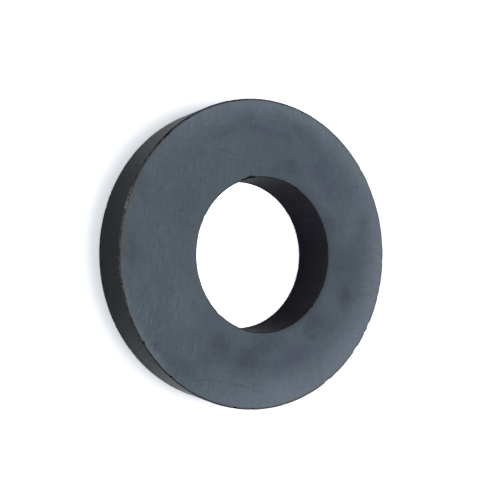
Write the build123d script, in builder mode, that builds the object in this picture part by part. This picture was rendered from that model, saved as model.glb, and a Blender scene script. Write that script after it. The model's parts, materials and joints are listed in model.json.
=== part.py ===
"""Ferrite ring magnet: one pressed and sintered ring with ground faces and a few chipped rims.

Millimetres. The origin is the middle of the bottom face, and +Z runs up the bore.
"""

from build123d import *
from math import sqrt
import os

# Driving dimensions
outer_diameter = 60.0
bore_diameter = 30.0
thickness = 10.3
edge_break = 0.2  # no rim is left as a knife edge

# Chips on the top rims: angle round the ring (degrees from +X), length along the rim, depth
outer_rim_chips = [
    (103.0, 1.5, 0.16),
    (134.0, 1.6, 0.14),
    (160.0, 1.5, 0.14),
    (-29.5, 1.1, 0.14),
    (-41.0, 1.2, 0.14),
    (-59.5, 1.3, 0.18),
    (-81.0, 0.9, 0.12),
    (-96.0, 1.2, 0.14),
    (-103.5, 1.0, 0.12),
]
bore_rim_chips = [
    (103.0, 1.8, 0.26),
    (62.0, 0.9, 0.12),
]

outer_radius = outer_diameter / 2
bore_radius = bore_diameter / 2
ring_width = outer_radius - bore_radius


def ball_radius(length: float, depth: float) -> float:
    """Radius of the ball that bites out a chip this long and this deep."""
    return (length**2 / 4 + depth**2) / (2 * depth)


def ball_offset(length: float, depth: float) -> float:
    """How far that ball's centre stands off a rim's sharp corner, in radius and in height."""
    return (ball_radius(length, depth) - depth) / sqrt(2) - edge_break / 2


with BuildPart() as ring_magnet:
    # the wall's section, standing on the origin's plane, spun once round the bore
    with BuildSketch(Plane.XZ) as section:
        with Locations((bore_radius, 0)):
            Rectangle(ring_width, thickness, align=(Align.MIN, Align.MIN))
        chamfer(section.vertices(), edge_break)
    revolve(axis=Axis.Z)

    # shell-shaped chips along the outer rim of the top face
    for angle, length, depth in outer_rim_chips:
        offset = ball_offset(length, depth)
        with Locations((0, 0, thickness + offset)):
            with PolarLocations(outer_radius + offset, 1, start_angle=angle):
                Sphere(ball_radius(length, depth), mode=Mode.SUBTRACT)

    # and along the bore's rim
    for angle, length, depth in bore_rim_chips:
        offset = ball_offset(length, depth)
        with Locations((0, 0, thickness + offset)):
            with PolarLocations(bore_radius - offset, 1, start_angle=angle):
                Sphere(ball_radius(length, depth), mode=Mode.SUBTRACT)

os.makedirs("parts", exist_ok=True)
ring_magnet.part.label = "ring_magnet"
export_step(ring_magnet.part, "parts/ring_magnet.step")
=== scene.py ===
"""Ferrite ring magnet: one sintered ring, ground top and bottom, lying on a pale floor.

Metres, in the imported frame: the ring rests on z = 0 and its bore runs up +Z.
"""

import json
import logging
import math
import random
from dataclasses import dataclass, field
from enum import Enum

import bmesh
import bpy
import numpy as np
from mathutils import Matrix, Vector, noise


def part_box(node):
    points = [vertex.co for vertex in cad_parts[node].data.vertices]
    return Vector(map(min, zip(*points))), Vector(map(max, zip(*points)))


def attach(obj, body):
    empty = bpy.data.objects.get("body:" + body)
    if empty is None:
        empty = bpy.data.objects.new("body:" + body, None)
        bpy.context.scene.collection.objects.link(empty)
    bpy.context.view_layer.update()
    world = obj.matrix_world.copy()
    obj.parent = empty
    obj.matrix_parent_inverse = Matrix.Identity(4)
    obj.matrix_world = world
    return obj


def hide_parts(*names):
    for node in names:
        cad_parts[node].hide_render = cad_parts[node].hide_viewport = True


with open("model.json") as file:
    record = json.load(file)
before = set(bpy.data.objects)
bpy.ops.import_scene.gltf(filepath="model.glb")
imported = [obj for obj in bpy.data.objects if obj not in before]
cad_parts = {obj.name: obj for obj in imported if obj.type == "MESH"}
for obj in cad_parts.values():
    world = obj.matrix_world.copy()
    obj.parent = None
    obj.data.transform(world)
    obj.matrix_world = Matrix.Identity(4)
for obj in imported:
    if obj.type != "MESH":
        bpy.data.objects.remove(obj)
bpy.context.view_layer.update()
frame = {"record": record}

MM = 0.001
LOG = logging.getLogger("ring_magnet")

Colour = tuple[float, float, float]


def colour(code: str) -> Colour:
    """Turns a paint-chart code into the linear colour that a shader takes.

    Args:
        code: Six hexadecimal digits, two each of red, green and blue.

    Returns:
        The linear red, green and blue.
    """
    parts = [int(code[i:i + 2], 16) / 255 for i in (0, 2, 4)]
    return tuple(p / 12.92 if p <= 0.04045 else ((p + 0.055) / 1.055) ** 2.4 for p in parts)


# ---------------------------------------------------------------------------------------------
# Wiring
# ---------------------------------------------------------------------------------------------


class Graph:
    """Shorthand for wiring one node tree."""

    def __init__(self, tree: bpy.types.NodeTree) -> None:
        """Keeps the tree that the methods add to."""
        self.tree = tree

    def add(self, kind: str, **settings: object) -> bpy.types.Node:
        """Adds a node.

        Args:
            kind: The node's type name.
            settings: Properties to set on it.

        Returns:
            The new node.
        """
        node = self.tree.nodes.new(kind)
        for name, value in settings.items():
            setattr(node, name, value)
        return node

    def feed(self, socket: bpy.types.NodeSocket, value: object) -> None:
        """Links a socket to another one, or sets it to a plain value.

        Args:
            socket: The input to feed.
            value: An output socket, a number, a vector or a colour.
        """
        if isinstance(value, bpy.types.NodeSocket):
            self.tree.links.new(value, socket)
        elif socket.type == "RGBA" and len(value) == 3:
            socket.default_value = (*value, 1.0)
        else:
            socket.default_value = value

    def math(self, operation: str, a: object, b: object = 0.0, clamp: bool = False) -> bpy.types.NodeSocket:
        """Adds a Math node.

        Args:
            operation: Its operation.
            a: The first input.
            b: The second input.
            clamp: Whether the result is held between 0 and 1.

        Returns:
            The result's socket.
        """
        node = self.add("ShaderNodeMath", operation=operation, use_clamp=clamp)
        self.feed(node.inputs[0], a)
        self.feed(node.inputs[1], b)
        return node.outputs[0]

    def plus(self, a: object, b: object, clamp: bool = False) -> bpy.types.NodeSocket:
        """Adds two numbers, and holds the sum between 0 and 1 if it is to be clamped."""
        return self.math("ADD", a, b, clamp)

    def minus(self, a: object, b: object) -> bpy.types.NodeSocket:
        """Takes the second number from the first."""
        return self.math("SUBTRACT", a, b)

    def times(self, a: object, b: object) -> bpy.types.NodeSocket:
        """Multiplies two numbers."""
        return self.math("MULTIPLY", a, b)

    def vector(self, operation: str, a: object, b: object = (0.0, 0.0, 0.0)) -> bpy.types.NodeSocket:
        """Adds a Vector Math node.

        Args:
            operation: Its operation.
            a: The first input.
            b: The second input.

        Returns:
            The Value socket of an operation that gives a number, or else the Vector socket.
        """
        node = self.add("ShaderNodeVectorMath", operation=operation)
        self.feed(node.inputs[0], a)
        self.feed(node.inputs[1], b)
        return node.outputs["Value" if operation in ("LENGTH", "DISTANCE", "DOT_PRODUCT") else "Vector"]

    def scaled(self, vector: object, factor: object) -> bpy.types.NodeSocket:
        """A vector times a number.

        Args:
            vector: The vector.
            factor: The number.

        Returns:
            The longer or shorter vector's socket.
        """
        node = self.add("ShaderNodeVectorMath", operation="SCALE")
        self.feed(node.inputs[0], vector)
        self.feed(node.inputs["Scale"], factor)
        return node.outputs["Vector"]

    def split(self, vector: object) -> list[bpy.types.NodeSocket]:
        """A vector's three parts.

        Args:
            vector: The vector.

        Returns:
            The X, Y and Z sockets.
        """
        node = self.add("ShaderNodeSeparateXYZ")
        self.feed(node.inputs[0], vector)
        return list(node.outputs)

    def join(self, x: object, y: object, z: object = 0.0) -> bpy.types.NodeSocket:
        """A vector from three parts.

        Args:
            x: Its X.
            y: Its Y.
            z: Its Z.

        Returns:
            The vector's socket.
        """
        node = self.add("ShaderNodeCombineXYZ")
        for socket, value in zip(node.inputs, (x, y, z)):
            self.feed(socket, value)
        return node.outputs[0]

    def reach(self, vector: object) -> bpy.types.NodeSocket:
        """How far a point lies from the Z axis.

        Args:
            vector: The point.

        Returns:
            The distance's socket.
        """
        x, y, _ = self.split(vector)
        return self.vector("LENGTH", self.join(x, y))

    def remap(self, value: object, low: object, high: object,
              to_low: object = 0.0, to_high: object = 1.0) -> bpy.types.NodeSocket:
        """Eases a value from one range to another, and holds it at the ends.

        Args:
            value: The value.
            low: Where it starts to change.
            high: Where it stops.
            to_low: The result at low.
            to_high: The result at high.

        Returns:
            The result's socket.
        """
        node = self.add("ShaderNodeMapRange", interpolation_type="SMOOTHSTEP")
        for name, given in (("Value", value), ("From Min", low), ("From Max", high),
                            ("To Min", to_low), ("To Max", to_high)):
            self.feed(node.inputs[name], given)
        return node.outputs["Result"]

    def blend(self, factor: object, first: object, second: object,
              mode: str = "MIX") -> bpy.types.NodeSocket:
        """Mixes two colours.

        Args:
            factor: How much of the second shows.
            first: The colour below.
            second: The colour on top.
            mode: The blend mode.

        Returns:
            The mixed colour's socket.
        """
        node = self.add("ShaderNodeMix", data_type="RGBA", blend_type=mode)
        self.feed(node.inputs["Factor"], factor)
        self.feed(node.inputs[6], first)
        self.feed(node.inputs[7], second)
        return node.outputs[2]

    def cloud(self, vector: object, size: float, detail: float = 2.0,
              roughness: float = 0.5) -> bpy.types.NodeSocket:
        """Cloudy noise between 0 and 1.

        Args:
            vector: Where it is read.
            size: The size of its blobs, in the vector's own unit.
            detail: How many finer layers it has.
            roughness: How strong those are.

        Returns:
            The noise's socket.
        """
        node = self.add("ShaderNodeTexNoise", noise_dimensions="3D")
        self.feed(node.inputs["Vector"], vector)
        node.inputs["Scale"].default_value = 1 / size
        node.inputs["Detail"].default_value = detail
        node.inputs["Roughness"].default_value = roughness
        return node.outputs[0]

    def place(self, tree: bpy.types.NodeTree, **values: object) -> bpy.types.Node:
        """Places a node group.

        Args:
            tree: The group.
            values: Its inputs, by name with underscores for spaces.

        Returns:
            The group's node.
        """
        node = self.add("ShaderNodeGroup", node_tree=tree)
        for name, value in values.items():
            self.feed(node.inputs[name.replace("_", " ")], value)
        return node


class Effect:
    """A shader node group with named inputs and outputs, built once."""

    name = "Effect"
    inputs: dict[str, str] = {}
    outputs: dict[str, str] = {}

    @classmethod
    def tree(cls) -> bpy.types.NodeTree:
        """Finds the group, or builds it the first time.

        Returns:
            The group's tree.
        """
        found = bpy.data.node_groups.get(cls.name)
        if found:
            return found
        tree = bpy.data.node_groups.new(cls.name, "ShaderNodeTree")
        for name, kind in cls.inputs.items():
            tree.interface.new_socket(name, in_out="INPUT", socket_type=f"NodeSocket{kind}")
        for name, kind in cls.outputs.items():
            tree.interface.new_socket(name, in_out="OUTPUT", socket_type=f"NodeSocket{kind}")
        graph = Graph(tree)
        given = graph.add("NodeGroupInput").outputs
        results = cls.wire(graph, given)
        wanted = graph.add("NodeGroupOutput").inputs
        for name, socket in results.items():
            tree.links.new(socket, wanted[name])
        return tree

    @classmethod
    def wire(cls, graph: Graph, given: bpy.types.NodeOutputs) -> dict[str, bpy.types.NodeSocket]:
        """Wires the group from its inputs to its outputs.

        Args:
            graph: The group's own graph.
            given: The sockets of the group's inputs.

        Returns:
            What feeds each output, by name.
        """
        raise NotImplementedError


class Grain(Effect):
    """The fine crystal grain of sintered ferrite, with a scatter of pores."""

    name = "Ferrite grain"
    inputs = {"Vector": "Vector", "Grain Size": "Float", "Pore Spacing": "Float", "Pore Size": "Float"}
    outputs = {"Grain": "Float", "Pores": "Float"}

    @classmethod
    def wire(cls, graph: Graph, given: bpy.types.NodeOutputs) -> dict[str, bpy.types.NodeSocket]:
        """Layers two sizes of noise, and keeps a few cells as pores.

        Args:
            graph: The group's own graph.
            given: The sockets of the group's inputs.

        Returns:
            The grain, round one half, and the pores' mask.
        """
        at = graph.scaled(given["Vector"], graph.math("DIVIDE", 1.0, given["Grain Size"]))
        fine = graph.cloud(at, 1.0, detail=2.0, roughness=0.6)
        coarse = graph.cloud(at, 4.0, detail=2.0)
        grain = graph.plus(graph.times(fine, 0.6), graph.times(coarse, 0.4))
        cells = graph.add("ShaderNodeTexVoronoi", feature="F1")
        apart = graph.scaled(given["Vector"], graph.math("DIVIDE", 1.0, given["Pore Spacing"]))
        graph.feed(cells.inputs["Vector"], apart)
        cells.inputs["Scale"].default_value = 1.0
        luck = graph.split(cells.outputs["Color"])[0]
        radius = graph.times(graph.math("DIVIDE", given["Pore Size"], given["Pore Spacing"]),
                             graph.remap(luck, 0.55, 1.0))
        pores = graph.remap(cells.outputs["Distance"], radius, graph.times(radius, 0.4))
        shown = graph.times(pores, graph.math("GREATER_THAN", luck, 0.6))
        return {"Grain": grain, "Pores": shown}


class ArcMarks(Effect):
    """Streaks along circles round one centre, as a grinding wheel's edge leaves them."""

    name = "Arc marks"
    inputs = {"Vector": "Vector", "Centre": "Vector", "Pitch": "Float", "Streak Angle": "Float"}
    outputs = {"Marks": "Float"}

    @classmethod
    def wire(cls, graph: Graph, given: bpy.types.NodeOutputs) -> dict[str, bpy.types.NodeSocket]:
        """Reads noise in polar coordinates, short across the arcs and long along them.

        Args:
            graph: The group's own graph.
            given: The sockets of the group's inputs.

        Returns:
            The streaks, round one half.
        """
        x, y, z = graph.split(graph.vector("SUBTRACT", given["Vector"], given["Centre"]))
        reach = graph.vector("LENGTH", graph.join(x, y))
        turn = graph.math("ARCTAN2", y, x)
        across = graph.math("DIVIDE", reach, given["Pitch"])
        along = graph.math("DIVIDE", turn, given["Streak Angle"])
        return {"Marks": graph.cloud(graph.join(across, along, z), 1.0, detail=1.5, roughness=0.55)}


class SoftPatch(Effect):
    """A soft-edged oval, for smudges, stains and rubbed places."""

    name = "Soft patch"
    inputs = {"Vector": "Vector", "Centre": "Vector", "Half Length": "Float",
              "Half Width": "Float", "Turn": "Float"}
    outputs = {"Mask": "Float"}

    @classmethod
    def wire(cls, graph: Graph, given: bpy.types.NodeOutputs) -> dict[str, bpy.types.NodeSocket]:
        """Turns the plane to the oval, squeezes it to a disc and fades that outwards.

        Args:
            graph: The group's own graph.
            given: The sockets of the group's inputs.

        Returns:
            The oval's mask.
        """
        away = graph.vector("SUBTRACT", given["Vector"], given["Centre"])
        turned = graph.add("ShaderNodeVectorRotate", rotation_type="Z_AXIS")
        graph.feed(turned.inputs["Vector"], away)
        graph.feed(turned.inputs["Angle"], graph.times(given["Turn"], -1.0))
        x, y, _ = graph.split(turned.outputs[0])
        disc = graph.join(graph.math("DIVIDE", x, given["Half Length"]),
                          graph.math("DIVIDE", y, given["Half Width"]))
        return {"Mask": graph.remap(graph.vector("LENGTH", disc), 1.0, 0.0)}


class LineMark(Effect):
    """A thin bowed line, for scratches and scuffs."""

    name = "Line mark"
    inputs = {"Vector": "Vector", "Centre": "Vector", "Turn": "Float", "Half Length": "Float",
              "Half Width": "Float", "Bow": "Float"}
    outputs = {"Mask": "Float"}

    @classmethod
    def wire(cls, graph: Graph, given: bpy.types.NodeOutputs) -> dict[str, bpy.types.NodeSocket]:
        """Measures from a shallow parabola laid along the line.

        Args:
            graph: The group's own graph.
            given: The sockets of the group's inputs.

        Returns:
            The line's mask.
        """
        away = graph.vector("SUBTRACT", given["Vector"], given["Centre"])
        turned = graph.add("ShaderNodeVectorRotate", rotation_type="Z_AXIS")
        graph.feed(turned.inputs["Vector"], away)
        graph.feed(turned.inputs["Angle"], graph.times(given["Turn"], -1.0))
        x, y, _ = graph.split(turned.outputs[0])
        share = graph.math("DIVIDE", x, given["Half Length"])
        rise = graph.times(graph.minus(1.0, graph.times(share, share)), given["Bow"])
        off = graph.math("ABSOLUTE", graph.minus(y, rise))
        line = graph.remap(off, given["Half Width"], graph.times(given["Half Width"], 0.3))
        ends = graph.remap(graph.math("ABSOLUTE", share), 1.0, 0.7)
        return {"Mask": graph.times(line, ends)}


class Sector(Effect):
    """How far a point lies towards one side of the ring."""

    name = "Sector"
    inputs = {"Vector": "Vector", "Toward": "Float", "Half Spread": "Float"}
    outputs = {"Mask": "Float"}

    @classmethod
    def wire(cls, graph: Graph, given: bpy.types.NodeOutputs) -> dict[str, bpy.types.NodeSocket]:
        """Compares the point's direction with the side's.

        Args:
            graph: The group's own graph.
            given: The sockets of the group's inputs.

        Returns:
            One on the side's own line, fading to nothing at the half spread.
        """
        x, y, _ = graph.split(given["Vector"])
        way = graph.vector("NORMALIZE", graph.join(x, y))
        side = graph.join(graph.math("COSINE", given["Toward"]), graph.math("SINE", given["Toward"]))
        near = graph.vector("DOT_PRODUCT", way, side)
        return {"Mask": graph.remap(near, graph.math("COSINE", given["Half Spread"]), 1.0)}


class EdgeWearAndGleam(Effect):
    """Bare, dusty and rubbed edge breaks, a painted gleam where light catches the left rim, and the broken
    inside of a chip, over a surface's colour.
    """

    name = "Edge wear and painted gleam"
    inputs = {"Vector": "Vector", "Surface": "Color", "Crumb Size": "Float", "Edge": "Float",
              "Broken": "Float", "Dusty": "Float", "Gleaming": "Float", "Bare Edge": "Color",
              "Rubbed": "Color", "Gleam": "Color", "Fracture": "Color"}
    outputs = {"Color": "Color"}

    @classmethod
    def wire(cls, graph: Graph, given: bpy.types.NodeOutputs) -> dict[str, bpy.types.NodeSocket]:
        """Breaks the dust and the painted gleam up into crumbs, and lays them over the bare edge.

        Args:
            graph: The group's own graph.
            given: The sockets of the group's inputs.

        Returns:
            The colour with the wear on it.
        """
        at = graph.scaled(given["Vector"], graph.math("DIVIDE", 1.0, given["Crumb Size"]))
        crumbs = graph.remap(graph.cloud(at, 1.0, detail=3.0, roughness=0.65), 0.36, 0.66, 0.0, 0.5)
        dusty = graph.times(given["Dusty"], graph.plus(0.25, crumbs))
        gleaming = graph.times(given["Gleaming"], graph.plus(0.3, crumbs))
        lip = graph.blend(dusty, given["Bare Edge"], given["Rubbed"])
        # Painted highlight: the gleam stands in for light caught by the left rim near 162 degrees.
        lip = graph.blend(gleaming, lip, given["Gleam"])
        tone = graph.blend(given["Edge"], given["Surface"], lip)
        flake = graph.blend(dusty, given["Fracture"], lip)
        return {"Color": graph.blend(given["Broken"], tone, flake)}


# ---------------------------------------------------------------------------------------------
# Finishes
# ---------------------------------------------------------------------------------------------


@dataclass(frozen=True)
class Patch:
    """A soft oval on the ground faces: its place and half sizes in millimetres, turn and strength."""

    x: float
    y: float
    half_length: float
    half_width: float
    turn: float = 0.0
    strength: float = 1.0


@dataclass(frozen=True)
class Scratch:
    """A thin line on the ground faces, in millimetres and degrees, with how far it bows."""

    x: float
    y: float
    turn: float
    half_length: float
    half_width: float = 0.16
    bow: float = 0.0
    strength: float = 0.5


@dataclass(frozen=True)
class Side:
    """A side of the ring: its direction in degrees from +X, and the degrees in which it fades out."""

    angle: float
    spread: float


@dataclass(frozen=True)
class Band:
    """A band along one side of the outer rim, fading in between two shares of the rim's radius."""

    side: Side
    start: float
    end: float


@dataclass(frozen=True)
class Dimming:
    """A dark band beside the bore: where it starts, as a share of the bore's radius, and its depth."""

    start: float
    depth: float


@dataclass(frozen=True)
class Shake:
    """How a pattern's outline wanders: the size of the waves and their reach, in millimetres."""

    size: float
    reach: float


@dataclass(frozen=True)
class Speckle:
    """The grain and pores of one surface: sizes in millimetres, then how strongly each shows."""

    grain_size: float
    pore_spacing: float
    pore_size: float
    grain_depth: float
    pore_strength: float


@dataclass(frozen=True)
class Streaks:
    """One set of the wheel's arcs: millimetres from arc to arc, and a streak's length in radians."""

    pitch: float
    angle: float


@dataclass(frozen=True)
class Relief:
    """How strong a surface's bump is, and how deep in millimetres."""

    strength: float
    depth: float


@dataclass(frozen=True)
class WearFinish:
    """What the edge breaks and chips show: dark bare ferrite, dusty and rubbed on the left, and a painted
    gleam on the left rim. The bare edge's colour also paints the shade line inside the outer rim.
    """

    bare_edge_and_shade: str = "2a2d31"
    rubbed: str = "5c5955"
    gleam: str = "8a8883"
    fracture: str = "1c1e22"
    crumb_size: float = 0.6
    dusty_side: Side = Side(176, 50)
    # the gleam is a painted highlight on the left rim
    gleam_side: Side = Side(162, 6)


@dataclass(frozen=True)
class FaceFinish:
    """The ground faces: blue-grey, mottled, with the wheel's arcs, a painted sheen along the outer band, a
    painted highlight on the lower left lip and a thin painted shade line inside the rest of the outer rim.

    Sizes are in millimetres, and strengths and depths are shares of a colour.
    """

    blue: str = "4b5660"
    plum: str = "464d5b"
    dark: str = "3a424c"
    pale: str = "5d6772"
    # painted sheen: the paler colour of the band along the right, top and bottom of the outer rim
    painted_sheen: str = "69737e"
    smudge: str = "2d3138"
    dust: str = "4c4d4e"
    roughness: float = 0.55
    roughness_spread: float = 0.08
    specular: float = 0.2
    cloud_size: float = 7.0
    mottle_size: float = 1.1
    mottle_depth: float = 0.13
    wander: Shake = Shake(4.0, 1.5)
    sheen_strength: float = 0.78
    wide_sheen: Band = Band(Side(-58, 78), 0.70, 1.03)
    narrow_sheen: Band = Band(Side(55, 115), 0.80, 1.03)
    grimy_lip: Band = Band(Side(168, 38), 0.945, 0.995)
    # painted highlight along the lower left lip
    lip_highlight: Band = Band(Side(208, 26), 0.945, 0.995)
    lip_highlight_strength: float = 0.45
    # painted shade: a thin dark line just inside the outer rim, left off on the lower left
    brink_start: float = 0.55
    brink_end: float = 0.2
    brink_shade_strength: float = 0.7
    brink_lit_side: Side = Side(208, 45)
    dim_side: Side = Side(-5, 120)
    wide_dimming: Dimming = Dimming(1.3, 0.45)
    narrow_dimming: Dimming = Dimming(1.09, 0.6)
    patch_shake: Shake = Shake(2.4, 2.0)
    smudge_shake: Shake = Shake(0.8, 0.5)
    scratch_shake: Shake = Shake(1.5, 0.15)
    speckle: Speckle = Speckle(0.16, 1.5, 0.24, 0.35, 0.45)
    wheel: tuple[float, float] = (-132.0, 18.0)
    coarse_arcs: Streaks = Streaks(0.42, 0.035)
    fine_arcs: Streaks = Streaks(0.20, 0.022)
    arc_depth: float = 0.42
    arc_floor: float = 0.38
    relief: Relief = Relief(0.35, 0.05)
    plum_patches: tuple[Patch, ...] = (
        Patch(13.1, 17.2, 3.8, 3.6, 0, 0.9),
        Patch(15.8, 13.2, 3.0, 2.8, 0, 0.9),
        Patch(10.0, 16.3, 3.4, 3.0, 0, 0.4),
        Patch(6.5, -20.2, 8.0, 3.8, 8, 0.9),
        Patch(-10.0, -17.0, 4.0, 3.4, 0, 0.6),
        Patch(27.2, -0.5, 1.6, 6.0, 0, 0.7),
        Patch(-9.5, 22.8, 5.0, 1.6, 24, 0.9),
        Patch(-2.0, 24.2, 5.5, 1.7, 0, 0.9),
        Patch(4.6, 23.0, 4.2, 1.8, -22, 0.9),
        Patch(3.0, 20.0, 3.4, 2.4, 0, 0.4),
    )
    dark_patches: tuple[Patch, ...] = (
        Patch(15.4, 6.5, 3.6, 3.2, 0, 0.6),
        Patch(6.2, 17.2, 3.4, 2.6, 0, 0.7),
        Patch(2.6, 16.8, 3.0, 2.0, 0, 0.5),
        Patch(19.8, -8.3, 3.8, 4.2, 0, 0.8),
        Patch(21.0, -2.1, 6.0, 6.5, 0, 0.55),
        Patch(17.0, -2.0, 3.6, 8.0, 0, 0.5),
        Patch(24.5, -7.5, 4.0, 2.6, -8, 0.3),
        Patch(13.1, -13.8, 4.6, 4.0, 0, 0.7),
        Patch(10.3, -13.1, 3.2, 3.6, 0, 0.5),
        Patch(11.0, -16.5, 2.8, 1.8, -30, 0.6),
        Patch(-4.1, -20.0, 6.2, 4.4, 0, 0.9),
        Patch(-9.6, -16.5, 4.4, 3.6, 0, 0.5),
        Patch(-12.3, -19.3, 5.5, 3.4, 20, 0.5),
        Patch(0.0, -17.0, 6.5, 3.4, 0, 0.6),
        Patch(7.0, 25.8, 9.0, 2.8, -14, 0.55),
        Patch(-3.0, 26.6, 6.0, 2.2, 6, 0.25),
        Patch(-27.6, 0.8, 2.2, 5.5, 0, 0.7),
        Patch(-25.8, 12.0, 1.8, 5.0, 24, 0.45),
        Patch(-17.0, 10.3, 4.4, 4.4, 0, 0.3),
        Patch(-18.5, 6.2, 3.6, 1.4, -32, 0.35),
        Patch(-17.8, -21.0, 6.5, 2.2, -45, 0.4),
    )
    pale_patches: tuple[Patch, ...] = (
        Patch(2.8, -26.6, 7.0, 3.6, 0, 0.7),
        Patch(18.6, -20.0, 8.0, 4.2, 47, 0.4),
        Patch(-17.5, -9.0, 5.0, 8.0, 10, 0.25),
        Patch(-8.0, 19.6, 7.0, 3.6, 0, 0.12),
        Patch(21.8, 9.0, 3.2, 8.5, -10, 0.35),
        Patch(-13.7, 26.0, 4.0, 2.4, -28, 0.4),
    )
    smudges: tuple[Patch, ...] = (
        Patch(19.6, -8.8, 2.0, 2.4, 20, 0.25),
        Patch(11.0, -16.6, 1.0, 0.8, 30, 0.25),
        Patch(9.5, -15.2, 1.8, 0.7, 60, 0.2),
        Patch(-23.2, -15.9, 0.5, 0.5, 0, 0.6),
        Patch(-16.8, 12.6, 0.7, 0.6, 0, 0.4),
        Patch(-20.5, -6.0, 0.5, 0.5, 0, 0.3),
    )
    scratches: tuple[Scratch, ...] = (
        Scratch(-8.3, 19.2, -13, 2.7, 0.18, 0.1, 0.38),
        Scratch(-2.1, 18.1, 0, 1.6, 0.18, 0.0, 0.25),
        Scratch(-17.5, 6.0, -32, 2.9, 0.20, 0.3, 0.2),
        Scratch(-12.8, -23.6, -6, 3.5, 0.22, 0.4, 0.3),
        Scratch(-5.0, -25.6, -19, 4.8, 0.22, 0.5, 0.22),
        Scratch(24.0, -8.3, -8, 3.2, 0.18, 0.2, 0.25),
        Scratch(25.5, -1.5, 0, 3.0, 0.18, 0.1, 0.14),
        Scratch(22.4, 14.4, 10, 0.8, 0.2, 0.0, 0.3),
    )


@dataclass(frozen=True)
class WallFinish:
    """The outer wall and the bore, left as they came from the kiln: near black and matt. The bore's colour
    is a paler copy of the wall's, painted light that makes up for the shade inside the bore.

    Sizes are in millimetres, depths are shares of a colour, and repeats are counted in a radian.
    """

    outer: str = "191f24"
    inner: str = "303139"
    warm: str = "1d1d23"
    pale: str = "31363b"
    pore: str = "1c1e22"
    roughness: float = 0.30
    roughness_spread: float = 0.10
    specular: float = 0.009
    cloud_size: float = 9.0
    warm_outside: Side = Side(124, 22)
    warm_inside: Side = Side(-78, 42)
    drag_repeats: float = 36.0
    drag_height: float = 30.0
    drag_depth: float = 0.55
    layer_repeats: float = 1.6
    layer_height: float = 0.6
    layer_depth: float = 0.35
    speckle: Speckle = Speckle(0.2, 1.2, 0.26, 0.5, 0.6)
    rub_size: float = 1.6
    relief: Relief = Relief(0.5, 0.08)


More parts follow.
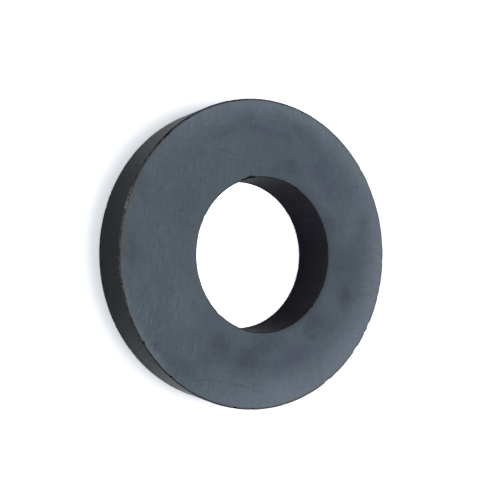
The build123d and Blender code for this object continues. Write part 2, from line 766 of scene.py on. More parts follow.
class Painter:
    """Makes the ring's two materials."""

    def __init__(self, outer_radius: float, bore_radius: float, wear: WearFinish) -> None:
        """Keeps the radii that the patterns follow, and what worn places look like."""
        self.outer_radius = outer_radius
        self.bore_radius = bore_radius
        self.wear = wear

    @staticmethod
    def start(name: str) -> tuple[bpy.types.Material, Graph, bpy.types.Node, bpy.types.NodeSocket]:
        """Starts a material.

        Args:
            name: The material's name.

        Returns:
            The material, its graph, its Principled node and the Object coordinates.
        """
        material = bpy.data.materials.new(name)
        material.use_nodes = True
        graph = Graph(material.node_tree)
        shader = material.node_tree.nodes["Principled BSDF"]
        return material, graph, shader, graph.add("ShaderNodeTexCoord").outputs["Object"]

    @staticmethod
    def attribute(graph: Graph, name: str) -> bpy.types.NodeSocket:
        """Reads one of the ring's own vertex attributes, by its name."""
        return graph.add("ShaderNodeAttribute", attribute_name=name).outputs["Fac"]

    @staticmethod
    def ragged(graph: Graph, at: bpy.types.NodeSocket, shake: Shake) -> bpy.types.NodeSocket:
        """Shakes the coordinates, so that what is drawn on them has uneven edges.

        Args:
            graph: The material's graph.
            at: The coordinates.
            shake: The size and reach of the shakes.

        Returns:
            The shaken coordinates.
        """
        node = graph.add("ShaderNodeTexNoise", noise_dimensions="3D")
        graph.feed(node.inputs["Vector"], at)
        node.inputs["Scale"].default_value = 1 / (shake.size * MM)
        node.inputs["Detail"].default_value = 3.0
        offset = graph.vector("SUBTRACT", node.outputs["Color"], (0.5, 0.5, 0.5))
        return graph.vector("ADD", at, graph.scaled(offset, 2 * shake.reach * MM))

    @staticmethod
    def patches(graph: Graph, at: bpy.types.NodeSocket, rows: tuple[Patch, ...]) -> bpy.types.NodeSocket:
        """Adds up a list of soft ovals.

        Args:
            graph: The material's graph.
            at: The coordinates.
            rows: The ovals.

        Returns:
            Their mask, held at 1.
        """
        total: object = 0.0
        for row in rows:
            mask = graph.place(SoftPatch.tree(), Vector=at, Centre=(row.x * MM, row.y * MM, 0.0),
                               Half_Length=row.half_length * MM, Half_Width=row.half_width * MM,
                               Turn=math.radians(row.turn)).outputs["Mask"]
            total = graph.plus(graph.times(mask, row.strength), total, clamp=True)
        return total

    @staticmethod
    def scratches(graph: Graph, at: bpy.types.NodeSocket,
                  rows: tuple[Scratch, ...]) -> bpy.types.NodeSocket:
        """Adds up a list of scratches.

        Args:
            graph: The material's graph.
            at: The coordinates.
            rows: The scratches.

        Returns:
            Their mask, held at 1.
        """
        total: object = 0.0
        for row in rows:
            mask = graph.place(LineMark.tree(), Vector=at, Centre=(row.x * MM, row.y * MM, 0.0),
                               Turn=math.radians(row.turn), Half_Length=row.half_length * MM,
                               Half_Width=row.half_width * MM, Bow=row.bow * MM).outputs["Mask"]
            total = graph.plus(graph.times(mask, row.strength), total, clamp=True)
        return total

    @staticmethod
    def toward(graph: Graph, at: bpy.types.NodeSocket, side: Side) -> bpy.types.NodeSocket:
        """Masks one side of the ring.

        Args:
            graph: The material's graph.
            at: The coordinates.
            side: The side.

        Returns:
            The side's mask.
        """
        return graph.place(Sector.tree(), Vector=at, Toward=math.radians(side.angle),
                           Half_Spread=math.radians(side.spread)).outputs["Mask"]

    @staticmethod
    def shade(graph: Graph, base: object, mark: object, depth: float) -> bpy.types.NodeSocket:
        """Lightens and darkens a colour by a pattern that lies round one half.

        Args:
            graph: The material's graph.
            base: The colour.
            mark: The pattern.
            depth: How much of the colour it takes or gives.

        Returns:
            The shaded colour.
        """
        gain = graph.plus(1.0, graph.times(graph.minus(mark, 0.5), depth * 2))
        return graph.blend(1.0, base, graph.join(gain, gain, gain), "MULTIPLY")

    @staticmethod
    def speckled(graph: Graph, at: bpy.types.NodeSocket,
                 speckle: Speckle) -> tuple[bpy.types.NodeSocket, bpy.types.NodeSocket]:
        """Places a surface's grain and pores.

        Args:
            graph: The material's graph.
            at: The coordinates.
            speckle: Their sizes.

        Returns:
            The grain, round one half, and the pores' mask.
        """
        node = graph.place(Grain.tree(), Vector=at, Grain_Size=speckle.grain_size * MM,
                           Pore_Spacing=speckle.pore_spacing * MM, Pore_Size=speckle.pore_size * MM)
        return node.outputs["Grain"], node.outputs["Pores"]

    def blotched(self, graph: Graph, at: bpy.types.NodeSocket, cloud: bpy.types.NodeSocket,
                 finish: FaceFinish) -> bpy.types.NodeSocket:
        """Colours the ground face, with its plum, dark and pale patches.

        Args:
            graph: The material's graph.
            at: The coordinates.
            cloud: The cloud that lets some plum through everywhere.
            finish: The face's finish.

        Returns:
            The colour.
        """
        loose = self.ragged(graph, at, finish.patch_shake)
        plum = graph.plus(graph.remap(cloud, 0.44, 0.68, 0.0, 0.3),
                          self.patches(graph, loose, finish.plum_patches), clamp=True)
        tone = graph.blend(plum, colour(finish.blue), colour(finish.plum))
        tone = graph.blend(self.patches(graph, loose, finish.dark_patches), tone, colour(finish.dark))
        return graph.blend(self.patches(graph, loose, finish.pale_patches), tone, colour(finish.pale))

    def band(self, graph: Graph, at: bpy.types.NodeSocket, reach: object,
             band: Band) -> bpy.types.NodeSocket:
        """Masks a band along one side of the outer rim.

        Args:
            graph: The material's graph.
            at: The coordinates.
            reach: The distance from the bore's axis, as even or uneven as the band is to be.
            band: The band.

        Returns:
            The band's mask.
        """
        rise = graph.remap(reach, band.start * self.outer_radius, band.end * self.outer_radius)
        return graph.times(rise, self.toward(graph, at, band.side))

    def rimmed(self, graph: Graph, at: bpy.types.NodeSocket, tone: object, mottle: bpy.types.NodeSocket,
               finish: FaceFinish) -> bpy.types.NodeSocket:
        """Paints a sheen along the outer band, mottles the face, dusts the rubbed left lip, paints a
        highlight on the lower left lip and paints shade as a thin dark line inside the rest of the outer
        rim.

        Args:
            graph: The material's graph.
            at: The coordinates.
            tone: The face's colour.
            mottle: The small cloud that breaks it up.
            finish: The face's finish.

        Returns:
            The colour with the bands on it.
        """
        reach = graph.reach(at)
        wander = graph.minus(graph.cloud(at, finish.wander.size * MM, detail=3.0), 0.5)
        uneven = graph.plus(reach, graph.times(wander, 2 * finish.wander.reach * MM))
        # Painted sheen: a paler band along the right, top and bottom of the outer rim stands in for light
        # caught there.
        painted_sheen = graph.plus(self.band(graph, at, uneven, finish.wide_sheen),
                           self.band(graph, at, uneven, finish.narrow_sheen), clamp=True)
        tone = graph.blend(graph.times(painted_sheen, finish.sheen_strength), tone, colour(finish.painted_sheen))
        tone = self.shade(graph, tone, mottle, finish.mottle_depth)

        grimy = graph.times(self.band(graph, at, uneven, finish.grimy_lip),
                            graph.remap(mottle, 0.3, 0.6, 0.25, 0.85))
        tone = graph.blend(grimy, tone, colour(finish.dust))
        # Painted highlight: the lower left lip is lightened with the sheen colour, standing in for light
        # caught there.
        light = graph.times(self.band(graph, at, uneven, finish.lip_highlight), finish.lip_highlight_strength)
        tone = graph.blend(light, tone, colour(finish.painted_sheen))
        # Painted shade: a thin dark line just inside the outer rim, in the bare edge's colour, stands in
        # for the edge break turning away from the light; the lower left is left out.
        brink = graph.remap(reach, self.outer_radius - finish.brink_start * MM,
                            self.outer_radius - finish.brink_end * MM, 0.0, finish.brink_shade_strength)
        bare = graph.times(brink, graph.minus(1.0, self.toward(graph, at, finish.brink_lit_side)))
        return graph.blend(bare, tone, colour(self.wear.bare_edge_and_shade))

    def dimmed(self, graph: Graph, at: bpy.types.NodeSocket, tone: object, mottle: bpy.types.NodeSocket,
               finish: FaceFinish) -> bpy.types.NodeSocket:
        """Darkens the face beside the bore, in a wide uneven band and a narrow even one.

        Args:
            graph: The material's graph.
            at: The coordinates.
            tone: The face's colour.
            mottle: The small cloud that makes the wide band uneven.
            finish: The face's finish.

        Returns:
            The darkened colour.
        """
        reach = graph.reach(at)
        uneven = graph.plus(reach, graph.times(mottle, 2 * MM))
        wide = graph.remap(uneven, finish.wide_dimming.start * self.bore_radius, self.bore_radius + 1 * MM,
                           0.0, finish.wide_dimming.depth)
        narrow = graph.remap(reach, finish.narrow_dimming.start * self.bore_radius, self.bore_radius,
                             0.0, finish.narrow_dimming.depth)
        shaded = graph.times(graph.plus(wide, narrow, clamp=True), self.toward(graph, at, finish.dim_side))
        return graph.blend(shaded, tone, colour(finish.dark))

    def arcs(self, graph: Graph, at: bpy.types.NodeSocket, finish: FaceFinish) -> bpy.types.NodeSocket:
        """Draws the wheel's arcs, clearest at the lower left.

        Args:
            graph: The material's graph.
            at: The coordinates.
            finish: The face's finish.

        Returns:
            The arcs, round one half.
        """
        centre = (finish.wheel[0] * MM, finish.wheel[1] * MM, 0.0)
        coarse, fine = (graph.place(ArcMarks.tree(), Vector=at, Centre=centre, Pitch=streaks.pitch * MM,
                                    Streak_Angle=streaks.angle).outputs["Marks"]
                        for streaks in (finish.coarse_arcs, finish.fine_arcs))
        marks = graph.times(graph.plus(coarse, fine), 0.5)
        x, y, _ = graph.split(at)
        leftward = graph.remap(x, 0.1 * self.outer_radius, -0.7 * self.outer_radius)
        downward = graph.remap(y, 0.3 * self.outer_radius, -0.3 * self.outer_radius, 0.35, 0.75)
        clear = graph.plus(graph.times(leftward, downward), finish.arc_floor)
        return graph.plus(0.5, graph.times(graph.minus(marks, 0.5), clear))

    def worn_and_gleaming(self, graph: Graph, at: bpy.types.NodeSocket, tone: object) -> bpy.types.NodeSocket:
        """Shows the edge breaks, the rubbed left rim, a painted gleam on it and the chips over a surface's
        own colour.

        Args:
            graph: The material's graph.
            at: The coordinates.
            tone: The surface's colour.

        Returns:
            The colour with the wear on it.
        """
        wear = self.wear
        node = graph.place(EdgeWearAndGleam.tree(), Vector=at, Surface=tone, Crumb_Size=wear.crumb_size * MM,
                           Edge=self.attribute(graph, "edge"), Broken=self.attribute(graph, "broken"),
                           Dusty=self.toward(graph, at, wear.dusty_side),
                           Gleaming=self.toward(graph, at, wear.gleam_side),
                           Bare_Edge=colour(wear.bare_edge_and_shade), Rubbed=colour(wear.rubbed),
                           Gleam=colour(wear.gleam), Fracture=colour(wear.fracture))
        return node.outputs["Color"]

    @staticmethod
    def gloss(graph: Graph, shader: bpy.types.Node, cloud: bpy.types.NodeSocket,
              finish: FaceFinish | WallFinish) -> None:
        """Sets how rough and how shiny a surface is.

        Args:
            graph: The material's graph.
            shader: Its Principled node.
            cloud: The cloud that makes the roughness uneven.
            finish: The surface's finish.
        """
        rough = graph.plus(finish.roughness - finish.roughness_spread,
                           graph.times(cloud, 2 * finish.roughness_spread))
        graph.feed(shader.inputs["Roughness"], rough)
        shader.inputs["Specular IOR Level"].default_value = finish.specular

    @staticmethod
    def emboss(graph: Graph, shader: bpy.types.Node, height: bpy.types.NodeSocket, relief: Relief) -> None:
        """Turns a height into a surface's bump.

        Args:
            graph: The material's graph.
            shader: Its Principled node.
            height: The height.
            relief: How strong and deep the bump is.
        """
        bump = graph.add("ShaderNodeBump")
        bump.inputs["Strength"].default_value = relief.strength
        bump.inputs["Distance"].default_value = relief.depth * MM
        graph.feed(bump.inputs["Height"], height)
        graph.feed(shader.inputs["Normal"], bump.outputs["Normal"])

    def face(self, finish: FaceFinish) -> bpy.types.Material:
        """Makes the ground faces' material.

        Args:
            finish: Its colours, patches and scratches.

        Returns:
            The material.
        """
        material, graph, shader, at = self.start("ground_ferrite")
        cloud = graph.cloud(at, finish.cloud_size * MM, detail=4.0, roughness=0.55)
        mottle = graph.cloud(at, finish.mottle_size * MM, detail=3.0, roughness=0.6)
        tone = self.blotched(graph, at, cloud, finish)
        tone = self.rimmed(graph, at, tone, mottle, finish)
        tone = self.dimmed(graph, at, tone, mottle, finish)
        stain = self.patches(graph, self.ragged(graph, at, finish.smudge_shake), finish.smudges)
        tone = graph.blend(stain, tone, colour(finish.smudge))

        grain, pores = self.speckled(graph, at, finish.speckle)
        tone = self.shade(graph, tone, grain, finish.speckle.grain_depth)
        arcs = self.arcs(graph, at, finish)
        tone = self.shade(graph, tone, arcs, finish.arc_depth)
        tone = graph.blend(graph.times(pores, finish.speckle.pore_strength), tone, colour(finish.smudge))
        cuts = self.scratches(graph, self.ragged(graph, at, finish.scratch_shake), finish.scratches)
        tone = graph.blend(cuts, tone, colour(finish.smudge))
        graph.feed(shader.inputs["Base Color"], self.worn_and_gleaming(graph, at, tone))
        self.gloss(graph, shader, cloud, finish)

        height = graph.plus(graph.times(arcs, 0.7), graph.times(grain, 0.5))
        height = graph.minus(height, graph.times(pores, 0.6))
        height = graph.minus(height, graph.times(cuts, 0.5))
        self.emboss(graph, shader, height, finish.relief)
        return material

    @staticmethod
    def unrolled(graph: Graph, at: bpy.types.NodeSocket, repeats: float,
                 height: float) -> bpy.types.NodeSocket:
        """Rolls the walls out flat, for a pattern that is long one way and short the other.

        Args:
            graph: The material's graph.
            at: The coordinates.
            repeats: How many of the pattern's blobs lie along one radian.
            height: How high one blob is, in metres.

        Returns:
            The flat coordinates.
        """
        x, y, z = graph.split(at)
        turn = graph.math("ARCTAN2", y, x)
        return graph.join(graph.times(turn, repeats), graph.math("DIVIDE", z, height))

    def wall(self, finish: WallFinish) -> bpy.types.Material:
        """Makes the walls' material.

        Args:
            finish: Its colours.

        Returns:
            The material.
        """
        material, graph, shader, at = self.start("sintered_ferrite")
        broad = graph.cloud(at, finish.cloud_size * MM, detail=3.0)
        inside = graph.math("LESS_THAN", graph.reach(at), (self.outer_radius + self.bore_radius) / 2)
        # Painted light: the bore's wall takes the paler copy of the wall colour, against the shade inside
        # the bore.
        tone = graph.blend(inside, colour(finish.outer), colour(finish.inner))
        ends = graph.blend(inside, self.toward(graph, at, finish.warm_outside),
                           self.toward(graph, at, finish.warm_inside))
        warmth = graph.plus(ends, graph.remap(broad, 0.45, 0.7, 0.0, 0.3), clamp=True)
        tone = graph.blend(warmth, tone, colour(finish.warm))

        drags = self.unrolled(graph, at, finish.drag_repeats, finish.drag_height * MM)
        drag = graph.cloud(drags, 1.0, detail=4.0, roughness=0.6)
        tone = self.shade(graph, tone, drag, finish.drag_depth)
        layers = graph.cloud(self.unrolled(graph, at, finish.layer_repeats, finish.layer_height * MM), 1.0,
                             detail=3.0)
        tone = self.shade(graph, tone, layers, finish.layer_depth)
        grain, pores = self.speckled(graph, at, finish.speckle)
        tone = self.shade(graph, tone, grain, finish.speckle.grain_depth)
        tone = graph.blend(graph.times(pores, finish.speckle.pore_strength), tone, colour(finish.pore))
        rub = graph.cloud(at, finish.rub_size * MM, detail=5.0, roughness=0.7)
        tone = graph.blend(graph.remap(rub, 0.6, 0.78, 0.0, 0.35), tone, colour(finish.pale))
        graph.feed(shader.inputs["Base Color"], self.worn_and_gleaming(graph, at, tone))
        self.gloss(graph, shader, broad, finish)

        height = graph.plus(grain, graph.times(drag, 0.8))
        height = graph.plus(height, graph.times(layers, 0.4))
        height = graph.minus(height, pores)
        self.emboss(graph, shader, height, finish.relief)
        return material


# ---------------------------------------------------------------------------------------------
# The ring
# ---------------------------------------------------------------------------------------------


class Rim(Enum):
    """The ring's four rims: whether each is on the outer wall, and whether on the top face."""

    OUTER_TOP = (True, True)
    BORE_TOP = (False, True)
    OUTER_BOTTOM = (True, False)
    BORE_BOTTOM = (False, False)


@dataclass(frozen=True)
class Chip:
    """A shell-shaped flake broken off a rim: degrees round from +X, then millimetres.

    The lean says which way it was struck: 45 bites face and wall alike, less bites the face more.
    """

    rim: Rim
    angle: float
    length: float
    depth: float
    lean: float = 45.0


@dataclass(frozen=True)
class Wave:
    """Smooth noise round a rim: its waves' size in millimetres, its strength and which noise it is."""

    size: float
    strength: float
    layer: int


@dataclass(frozen=True)
class NickKind:
    """The least and most of some nicks' length in millimetres, depth as a share of it, and lean."""

    lengths: tuple[float, float]
    depths: tuple[float, float]
    leans: tuple[float, float]


@dataclass
class RingMagnet:
    """The ring itself, one piece, with its edge breaks, chips and worn rims.

    Offsets are in millimetres from a rim's corner, and the other lengths are in metres. The face and
    base shares are of the width or height that they cut, and the break's is of the edge break.
    """

    outer_radius: float
    bore_radius: float
    thickness: float
    edge_break: float = 0.2 * MM
    steps: int = 1080
    sectors: int = 30
    rim_offsets: tuple[float, ...] = (0.07, 0.14, 0.21, 0.28, 0.36, 0.45, 0.57, 0.75, 1.0, 1.4)
    base_offsets: tuple[float, ...] = (0.12, 0.25, 0.4, 0.8)
    face_shares: tuple[float, ...] = (0.2, 0.35, 0.5, 0.65, 0.8)
    base_shares: tuple[float, ...] = (0.25, 0.5, 0.75)
    chips: tuple[Chip, ...] = (
        Chip(Rim.OUTER_TOP, 101.5, 0.9, 0.14),
        Chip(Rim.OUTER_TOP, 104.4, 1.3, 0.18, 35),
        Chip(Rim.OUTER_TOP, 134.0, 1.6, 0.10, 50),
        Chip(Rim.OUTER_TOP, 139.0, 1.1, 0.07, 50),
        Chip(Rim.OUTER_TOP, 160.0, 1.5, 0.09, 55),
        Chip(Rim.OUTER_TOP, 165.5, 1.2, 0.07, 55),
        Chip(Rim.OUTER_TOP, -29.5, 1.1, 0.16),
        Chip(Rim.OUTER_TOP, -33.2, 0.8, 0.12),
        Chip(Rim.OUTER_TOP, -41.0, 1.2, 0.16),
        Chip(Rim.OUTER_TOP, -59.5, 1.3, 0.24),
        Chip(Rim.OUTER_TOP, -81.0, 0.9, 0.12),
        Chip(Rim.OUTER_TOP, -96.0, 1.2, 0.16),
        Chip(Rim.OUTER_TOP, -103.5, 1.0, 0.14),
        Chip(Rim.BORE_TOP, 103.0, 1.8, 0.30, 38),
        Chip(Rim.BORE_TOP, 108.5, 1.0, 0.10),
        Chip(Rim.BORE_TOP, 62.0, 0.9, 0.07),
    )
    nick_counts: tuple[tuple[Rim, int], ...] = (
        (Rim.OUTER_TOP, 60),
        (Rim.BORE_TOP, 12),
        (Rim.OUTER_BOTTOM, 90),
        (Rim.BORE_BOTTOM, 40),
    )
    nick_kind: NickKind = NickKind((0.3, 0.9), (0.05, 0.09), (15, 75))
    worn_nicks: int = 50
    worn_kind: NickKind = NickKind((0.3, 0.8), (0.05, 0.10), (20, 60))
    worn_side: Side = Side(172.0, 40.0)
    worn_wave: Wave = Wave(1.1, 1.2, 31)
    worn_extra: float = 0.05 * MM
    break_share: float = 0.85
    break_waves: tuple[Wave, ...] = (Wave(6.0, 0.22, 0), Wave(1.4, 0.20, 9), Wave(0.5, 0.16, 19))
    least_break: float = 0.08 * MM
    break_margin: float = 0.02 * MM
    flake_grain: float = 0.22 * MM
    flake_roughness: float = 0.025 * MM
    flake_fade: float = 0.04 * MM
    rim_zone: float = 3 * MM
    warp_size: float = 9 * MM
    warp_depth: float = 0.004 * MM
    warp_margin: float = 1.2 * MM
    crease: float = 24.0
    seed: int = 11
    angles: np.ndarray = field(default=None, repr=False)

    def section(self) -> bmesh.types.BMesh:
        """Draws the wall's section on the XZ plane, with points close together by the rims.

        Returns:
            A mesh of edges only.
        """
        low, high = self.bore_radius, self.outer_radius
        mesh = bmesh.new()
        corners = [mesh.verts.new((x, 0, z))
                   for x, z in ((low, 0), (high, 0), (high, self.thickness), (low, self.thickness))]
        for first, second in zip(corners, corners[1:] + corners[:1]):
            mesh.edges.new((first, second))
        middle = self.thickness / 2
        width = high - low

        def cut(along_x: bool, place: float, top: bool | None) -> None:
            """Cuts the section's edges at one place, on the top, the bottom or both."""
            edges = [e for e in mesh.edges
                     if top is None or all((v.co.z > middle) == top for v in e.verts)]
            verts = {v for e in edges for v in e.verts}
            bmesh.ops.bisect_plane(mesh, geom=edges + list(verts),
                                   plane_co=(place, 0, 0) if along_x else (0, 0, place),
                                   plane_no=(1, 0, 0) if along_x else (0, 0, 1))

        for offset in self.rim_offsets:
            cut(True, low + offset * MM, True)
            cut(True, high - offset * MM, True)
            cut(False, self.thickness - offset * MM, None)
        for offset in self.base_offsets:
            cut(True, low + offset * MM, False)
            cut(True, high - offset * MM, False)
            cut(False, offset * MM, None)
        for share in self.face_shares:
            cut(True, low + share * width, True)
        for share in self.base_shares:
            cut(True, low + share * width, False)
            cut(False, share * self.thickness, None)
        return mesh

    def noise_round(self, size: float, layer: float) -> np.ndarray:
        """Smooth noise round the ring, one value a step, that meets itself after a full turn.

        Args:
            size: The size of its waves along the outer rim, in metres.
            layer: Which of many different noises it is.

        Returns:
            Values round nought.
        """
        reach = self.outer_radius / size
        return np.array([noise.noise(Vector((reach * math.cos(a), reach * math.sin(a), layer)))
                         for a in self.angles])

    def wear_mask(self) -> np.ndarray:
        """How worn the outer top rim is, one value a step, with one rubbed side.

        Returns:
            Values from 0 to 1.
        """
        off = (self.angles - math.radians(self.worn_side.angle) + math.pi) % math.tau - math.pi
        return np.clip(1.3 * (1 - np.degrees(np.abs(off)) / self.worn_side.spread), 0, 1)

    def nicks(self) -> list[Chip]:
        """Scatters the small nicks that every rim has, more of them on the rubbed side.

        Returns:
            The named chips, each with smaller flakes beside it, and the nicks.
        """
        luck = random.Random(self.seed)
        made: list[Chip] = []
        for chip in self.chips:
            made.append(chip)
            radius = self.outer_radius if chip.rim.value[0] else self.bore_radius
            for way in (-1, 1):
                share = luck.uniform(0.4, 0.65)
                shift = way * luck.uniform(0.35, 0.5) * chip.length * MM / radius
                made.append(Chip(chip.rim, chip.angle + math.degrees(shift), chip.length * share,
                                 chip.depth * share, chip.lean + luck.uniform(-18, 18)))
        shortest, longest = self.nick_kind.lengths
        for rim, count in self.nick_counts:
            for _ in range(count):
                length = shortest + (longest - shortest) * luck.random() ** 3
                made.append(self.nick(luck, rim, luck.uniform(-180, 180), length, self.nick_kind))
        for _ in range(self.worn_nicks):
            length = luck.uniform(*self.worn_kind.lengths)
            angle = luck.gauss(self.worn_side.angle, self.worn_side.spread / 2.4)
            made.append(self.nick(luck, Rim.OUTER_TOP, angle, length, self.worn_kind))
        return made

    @staticmethod
    def nick(luck: random.Random, rim: Rim, angle: float, length: float, kind: NickKind) -> Chip:
        """Draws one nick's depth and then its lean.

        Args:
            luck: Where the numbers come from.
            rim: The nick's rim.
            angle: Its place round the ring, in degrees.
            length: Its length, in millimetres.
            kind: What the depth and lean may be.

        Returns:
            The nick.
        """
        return Chip(rim, angle, length, length * luck.uniform(*kind.depths), luck.uniform(*kind.leans))

    def break_widths(self, rim: Rim, layer: int) -> np.ndarray:
        """How wide one rim's edge break is, one value a step.

        Args:
            rim: The rim.
            layer: The rim's number, which gives it noise of its own.

        Returns:
            The widths, measured along the face and along the wall.
        """
        uneven = sum(wave.strength * self.noise_round(wave.size * MM, layer + wave.layer)
                     for wave in self.break_waves)
        width = self.edge_break * (self.break_share + uneven)
        if rim is Rim.OUTER_TOP:
            wave = self.worn_wave
            rise = 1 + wave.strength * self.noise_round(wave.size * MM, wave.layer)
            width = width + self.wear_mask() * self.worn_extra * rise
        return np.maximum(width, self.least_break)

    def bite(self, chip: Chip, along_face: np.ndarray, along_wall: np.ndarray, along_rim: np.ndarray,
             rough: np.ndarray) -> tuple[np.ndarray, tuple[float, float]]:
        """How far a chip pushes each point near it into the ring.

        Args:
            chip: The chip.
            along_face: The points' distance from the rim's corner, along the face.
            along_wall: The same along the wall.
            along_rim: The same round the rim, from the chip's middle.
            rough: The roughness at each point.

        Returns:
            The push on each point, and its direction along the face and along the wall.
        """
        length, depth = chip.length * MM, chip.depth * MM
        ball = (length ** 2 / 4 + depth ** 2) / (2 * depth)
        lean = math.radians(chip.lean)
        way = (math.cos(lean), math.sin(lean))
        stand = ball - depth - self.edge_break / math.sqrt(2)
        a = along_face + stand * way[0]
        b = along_wall + stand * way[1]
        size = ball + self.flake_roughness * rough
        lead = a * way[0] + b * way[1]
        gap = a * a + b * b + along_rim * along_rim - size ** 2
        return np.where(gap < 0, -lead + np.sqrt(np.maximum(lead ** 2 - gap, 0)), 0), way

    def wear(self, points: np.ndarray) -> tuple[np.ndarray, np.ndarray, np.ndarray]:
        """Breaks the edges and bites the chips out, by moving points inwards only.

        Args:
            points: The mesh's points, one row each.

        Returns:
            The moved points, and how much of an edge break and of a chip each one is.
        """
        reach = np.hypot(points[:, 0], points[:, 1])
        turn = np.arctan2(points[:, 1], points[:, 0])
        height = points[:, 2].copy()
        step = np.rint(turn / math.tau * self.steps).astype(int) % self.steps
        edge = np.zeros(len(points))
        broken = np.zeros(len(points))
        rough = np.array([noise.noise(Vector(p) / self.flake_grain) for p in points])
        chips = self.nicks()

        for layer, rim in enumerate(Rim):
            outside, top = rim.value
            corner = self.outer_radius if outside else self.bore_radius
            inward = -1.0 if outside else 1.0
            along_face = (reach - corner) * inward
            along_wall = self.thickness - height if top else height.copy()

            width = self.break_widths(rim, layer)[step]
            short = np.maximum(width - along_face - along_wall, 0)
            edge[(along_face + along_wall) < width + self.break_margin] = 1.0
            along_face = along_face + short / 2
            along_wall = along_wall + short / 2

            for chip in (c for c in chips if c.rim is rim):
                length = chip.length * MM
                along_rim = ((turn - math.radians(chip.angle) + math.pi) % math.tau - math.pi) * corner
                close = np.flatnonzero((np.abs(along_rim) < length) & (along_face < 2 * length)
                                       & (along_wall < 2 * length))
                push, way = self.bite(chip, along_face[close], along_wall[close], along_rim[close],
                                      rough[close])
                along_face[close] += push * way[0]
                along_wall[close] += push * way[1]
                broken[close] = np.maximum(broken[close], np.clip(push / self.flake_fade, 0, 1))

            zone = (along_face < self.rim_zone) & (along_wall < self.rim_zone)
            reach = np.where(zone, corner + inward * along_face, reach)
            height = np.where(zone, self.thickness - along_wall if top else along_wall, height)

        moved = np.stack([reach * np.cos(turn), reach * np.sin(turn), height], axis=1)
        return moved, edge, broken

    def warp(self, points: np.ndarray) -> np.ndarray:
        """Lets the walls run very slightly out of true, always inwards, as kiln-shrunk walls do.

        Args:
            points: The mesh's points, one row each.

        Returns:
            The moved points.
        """
        reach = np.hypot(points[:, 0], points[:, 1])
        wave = np.array([noise.noise(Vector(p) / self.warp_size) for p in points])
        outside = np.clip((reach - self.outer_radius) / self.warp_margin + 1, 0, 1)
        inside = np.clip((self.bore_radius - reach) / self.warp_margin + 1, 0, 1)
        new_reach = reach + (inside - outside) * self.warp_depth * (1 + wave)
        moved = points.copy()
        moved[:, :2] *= (new_reach / reach)[:, None]
        return moved

    def build(self) -> bpy.types.Object:
        """Spins the section, wears its rims and makes the ring's object.

        Returns:
            The ring.
        """
        work = self.section()
        whole = {"cent": (0, 0, 0), "axis": (0, 0, 1), "dvec": (0, 0, 0)}
        bmesh.ops.spin(work, geom=work.verts[:] + work.edges[:], angle=math.tau / self.sectors,
                       steps=self.steps // self.sectors, **whole)
        bmesh.ops.spin(work, geom=work.verts[:] + work.edges[:] + work.faces[:], use_duplicate=True,
                       angle=math.tau * (self.sectors - 1) / self.sectors, steps=self.sectors - 1, **whole)
        bmesh.ops.remove_doubles(work, verts=work.verts[:], dist=0.002 * MM)
        bmesh.ops.recalc_face_normals(work, faces=work.faces[:])
        mesh = bpy.data.meshes.new("sintered_ring")
        work.to_mesh(mesh)
        work.free()

        self.angles = np.arange(self.steps) * math.tau / self.steps
        points = np.empty(len(mesh.vertices) * 3)
        mesh.vertices.foreach_get("co", points)
        points, edge, broken = self.wear(points.reshape(-1, 3))
        points = self.warp(points)
        mesh.vertices.foreach_set("co", points.ravel())
        mesh.update()
        for name, values in (("edge", edge), ("broken", broken)):
            mesh.attributes.new(name, "FLOAT", "POINT").data.foreach_set("value", values)
        self.sort_faces(mesh, edge)
        mesh.polygons.foreach_set("use_smooth", [True] * len(mesh.polygons))
        mesh.set_sharp_from_angle(angle=math.radians(self.crease))
        ring = bpy.data.objects.new("sintered_ring", mesh)
        bpy.context.scene.collection.objects.link(ring)
        return ring

    def sort_faces(self, mesh: bpy.types.Mesh, edge: np.ndarray) -> None:
        """Gives the flat ground faces the first material and everything else the second.

        Args:
            mesh: The ring's mesh.
            edge: How much of an edge break each point is.
        """
        for polygon in mesh.polygons:
            flat = abs(polygon.normal.z) > 0.97
            bare = sum(edge[i] for i in polygon.vertices) / len(polygon.vertices) > 0.6
            polygon.material_index = 0 if flat and not bare else 1

    def dress(self, ring: bpy.types.Object) -> None:
        """Gives the ring its two materials and hands it to the frame.

        Args:
            ring: The ring's object.
        """
        painter = Painter(self.outer_radius, self.bore_radius, WearFinish())
        ring.data.materials.append(painter.face(FaceFinish()))
        ring.data.materials.append(painter.wall(WallFinish()))
        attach(ring, "root")
        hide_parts("ring_magnet")


# ---------------------------------------------------------------------------------------------
# The studio
# ---------------------------------------------------------------------------------------------


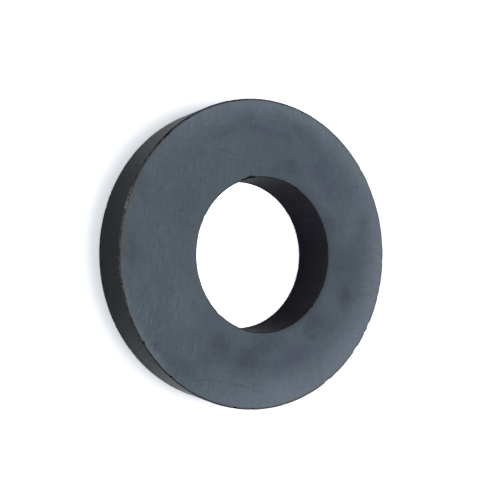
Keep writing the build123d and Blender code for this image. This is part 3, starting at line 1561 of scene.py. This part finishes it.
@dataclass
class Studio:
    """A pale floor, soft light from above and the right, and the camera.

    open_floor, under_bore and by_bore are how many times brighter the camera sees the floor: outside
    the ring, in the middle of the bore and beside its wall. bore_glow is the same for what mirrors
    the floor in the bore. The camera's distances are shares of the outer radius.
    """

    outer_radius: float
    bore_radius: float
    thickness: float
    floor_size: float = 1.6
    floor_grey: float = 0.40
    floor_tint: Colour = (0.955, 0.985, 1.03)
    open_floor: float = 4.2
    bore_glow: float = 2.8
    under_bore: float = 5.4
    by_bore: float = 10.5
    horizon: float = 0.75
    zenith: float = 1.15
    lamp_power: float = 0.5
    lamp_size: float = 0.19
    lamp_place: tuple[float, float, float] = (0.10, -0.03, 0.44)
    camera_tilt: float = 31.135
    camera_side: float = 177.256
    camera_distance: float = 4.511
    camera_right: float = -0.1168
    camera_up: float = -0.1481
    camera_lens: float = 50.662
    camera_shift: float = 0.0605

    def floor_level(self, graph: Graph) -> bpy.types.NodeSocket:
        """Works out how pale the floor is, for the camera, for what mirrors it and for the rest, with
        painted light that lifts the ring's contact shadow and paints out its shade in the bore.

        Args:
            graph: The floor material's graph.

        Returns:
            The floor's grey.
        """
        reach = graph.reach(graph.add("ShaderNodeTexCoord").outputs["Object"])
        in_bore = graph.math("LESS_THAN", reach, self.bore_radius)
        # Painted light: the camera sees the floor brightest right by the ring, lifting its contact shadow,
        # dimmer a little way out, a touch brighter far away, and brightest in the bore, most by its wall,
        # painting the ring's shade there out.
        near = graph.remap(reach, 1.05 * self.outer_radius, 1.28 * self.outer_radius,
                           self.open_floor, 0.76 * self.open_floor)
        far = graph.remap(reach, 2.5 * self.outer_radius, 9 * self.outer_radius,
                          0.0, 0.15 * self.open_floor)
        deep = graph.remap(reach, 0.5 * self.bore_radius, 1.02 * self.bore_radius,
                           self.under_bore, self.by_bore)
        seen = graph.plus(graph.plus(near, far), graph.times(in_bore, graph.minus(deep, self.open_floor)))
        mirrored = graph.plus(self.open_floor, graph.times(in_bore, self.bore_glow - self.open_floor))

        ray = graph.add("ShaderNodeLightPath").outputs
        gain = graph.plus(1.0, graph.times(ray["Is Glossy Ray"], graph.minus(mirrored, 1.0)))
        gain = graph.plus(gain, graph.times(ray["Is Camera Ray"], graph.minus(seen, 1.0)))
        return graph.times(gain, self.floor_grey)

    def floor(self) -> None:
        """Lays the floor, which the camera sees as white except where the ring shades it outside; in the
        bore painted light covers the ring's shade.
        """
        mesh = bpy.data.meshes.new("floor")
        work = bmesh.new()
        bmesh.ops.create_grid(work, x_segments=1, y_segments=1, size=self.floor_size / 2)
        work.to_mesh(mesh)
        work.free()
        floor = bpy.data.objects.new("floor", mesh)
        bpy.context.scene.collection.objects.link(floor)

        material = bpy.data.materials.new("pale_floor")
        material.use_nodes = True
        graph = Graph(material.node_tree)
        for node in list(material.node_tree.nodes):
            material.node_tree.nodes.remove(node)
        diffuse = graph.add("ShaderNodeBsdfDiffuse")
        graph.feed(diffuse.inputs["Color"], graph.scaled(self.floor_tint, self.floor_level(graph)))
        output = graph.add("ShaderNodeOutputMaterial")
        graph.feed(output.inputs["Surface"], diffuse.outputs[0])
        mesh.materials.append(material)

    def light(self) -> None:
        """Hangs one large soft lamp and sets the world, white only to the camera."""
        lamp = bpy.data.lights.new("soft_box", "AREA")
        lamp.shape = "DISK"
        lamp.size = self.lamp_size
        lamp.energy = self.lamp_power
        holder = bpy.data.objects.new("soft_box", lamp)
        holder.location = self.lamp_place
        holder.rotation_mode = "QUATERNION"
        holder.rotation_quaternion = Vector(self.lamp_place).to_track_quat("Z", "Y")
        bpy.context.scene.collection.objects.link(holder)

        world = bpy.data.worlds.new("studio")
        bpy.context.scene.world = world
        world.use_nodes = True
        graph = Graph(world.node_tree)
        back = world.node_tree.nodes["Background"]
        up = graph.split(graph.add("ShaderNodeNewGeometry").outputs["Normal"])[2]
        level = graph.remap(up, 0.0, 1.0, self.horizon, self.zenith)
        seen = graph.add("ShaderNodeLightPath").outputs["Is Camera Ray"]
        level = graph.math("MAXIMUM", level, seen)
        graph.feed(back.inputs["Color"], graph.join(level, level, level))

    def camera(self) -> None:
        """Places the camera over the ring's left side, looking down on it."""
        tilt, side = math.radians(self.camera_tilt), math.radians(self.camera_side)
        back = Vector((math.sin(tilt) * math.cos(side), math.sin(tilt) * math.sin(side), math.cos(tilt)))
        right = (-back).cross(Vector((0, 1, 0))).normalized()
        up = right.cross(-back)
        lens = bpy.data.cameras.new("camera")
        lens.sensor_width = 36.0
        lens.lens = self.camera_lens
        lens.shift_y = self.camera_shift
        lens.clip_start = 0.001
        camera = bpy.data.objects.new("camera", lens)
        offset = back * self.camera_distance + right * self.camera_right + up * self.camera_up
        camera.location = Vector((0, 0, self.thickness)) + offset * self.outer_radius
        camera.rotation_mode = "QUATERNION"
        camera.rotation_quaternion = Matrix((right, up, back)).transposed().to_quaternion()
        bpy.context.scene.collection.objects.link(camera)
        bpy.context.scene.camera = camera

    def set_up(self) -> None:
        """Sets the whole studio up, with colours shown as they are written."""
        self.floor()
        self.light()
        self.camera()
        bpy.context.scene.view_settings.view_transform = "Standard"


def main() -> None:
    """Builds the ring and the studio."""
    logging.basicConfig(level=logging.INFO, format="%(name)s: %(message)s")
    low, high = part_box("ring_magnet")
    bore = next(m for m in frame["record"]["mounts"] if m["name"] == "bore")
    outer_radius = (high[0] - low[0]) / 2
    bore_radius = bore["dims"]["r_mm"] * MM
    thickness = high[2] - low[2]

    magnet = RingMagnet(outer_radius, bore_radius, thickness)
    ring = magnet.build()
    magnet.dress(ring)
    LOG.info("%s: %d points, %d faces", ring.name, len(ring.data.vertices), len(ring.data.polygons))
    Studio(outer_radius, bore_radius, thickness).set_up()


if __name__ == "__main__":
    main()
